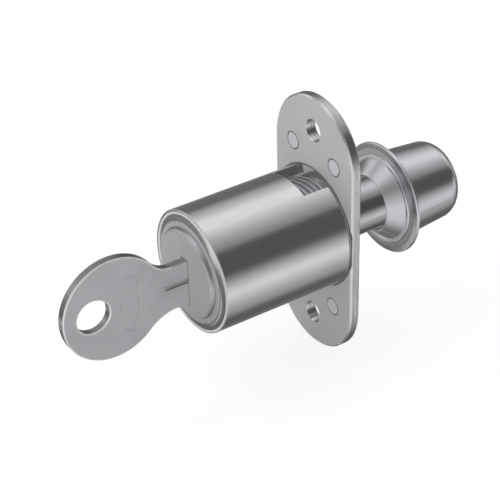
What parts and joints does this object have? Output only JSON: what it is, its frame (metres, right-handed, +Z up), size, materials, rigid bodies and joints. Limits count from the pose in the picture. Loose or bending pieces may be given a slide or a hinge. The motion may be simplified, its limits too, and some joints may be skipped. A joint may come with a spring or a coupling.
{
  "type": "sliding door lock",
  "caption": "Push lock for overlapping sliding doors: round barrel on an oblong flange, spring-returned cylinder with a locking plunger, wafer plug with flat key, and a strike cup with a guide cone.",
  "frame": {"origin": "on the lock's axis at the flange's front face, midway between the two screw holes", "axes": "+Y along the axis from the key to the strike cup, +Z up along the flange, +X to the right as seen from the key side"},
  "size_m": [0.0222, 0.0791, 0.0498],
  "materials": {
    "plated_casting": "polished nickel plate",
    "plate_steel": "satin",
    "rivet_steel": "satin",
    "pin_steel": "satin",
    "spring_steel": "bright drawn wire",
    "sleeve_metal": "satin nickel plate",
    "plunger_steel": "polished",
    "plug_metal": "satin nickel plate",
    "dog_metal": "as cast",
    "wafer_brass": "stamped",
    "key_metal": "stamped nickel silver",
    "strike_metal": "polished nickel plate"
  },
  "bodies": {
    "housing": {"housing": "plated_casting", "back_plate": "plate_steel", "flange_rivets": "rivet_steel", "guide_pin": "pin_steel", "return_spring": "spring_steel"},
    "cylinder": {"cylinder_sleeve": "sleeve_metal", "plunger": "plunger_steel", "plunger_pin": "pin_steel", "dog_spring": "spring_steel"},
    "plug": {"plug": "plug_metal", "plug_clip": "spring_steel", "cam_pin": "pin_steel", "wafer_springs": "spring_steel"},
    "dog": {"latch_dog": "dog_metal"},
    "wafers": {"wafer_1": "wafer_brass", "wafer_2": "wafer_brass", "wafer_3": "wafer_brass", "wafer_4": "wafer_brass", "wafer_5": "wafer_brass"},
    "key": {"key": "key_metal"},
    "strike": {"strike_cup": "strike_metal", "strike_guide": "strike_metal"}
  },
  "joints": [
    {"name": "cylinder_slide", "type": "slide", "parent": "housing", "child": "cylinder", "axis": [0, -1, 0], "range_m": [0, 0.0107], "deforming": ["return_spring"]},
    {"name": "plug_turn", "type": "hinge", "parent": "cylinder", "child": "plug", "pos_m": [0, -0.018, 0], "axis": [0, 1, 0], "range_deg": [0, 90]},
    {"name": "dog_slide", "type": "slide", "parent": "cylinder", "child": "dog", "axis": [0, 0, -1], "range_m": [0, 0.0014], "deforming": ["dog_spring"]},
    {"name": "key_slide", "type": "slide", "parent": "plug", "child": "key", "axis": [0, -1, 0], "range_m": [0, 0.022]},
    {"name": "wafer_drop", "type": "slide", "parent": "plug", "child": "wafers", "axis": [0, 0, -1], "range_m": [0, 0.0009], "deforming": ["wafer_springs"]},
    {"name": "strike_slide", "type": "slide", "parent": "housing", "child": "strike", "axis": [0, 1, 0], "range_m": [-0.009, 0.02]}
  ],
  "couplings": [
    {"joint": "dog_slide", "follows": "plug_turn", "m_per_rad": 0.000891},
    {"joint": "wafer_drop", "follows": "key_slide", "ratio": 0.0409}
  ]
}
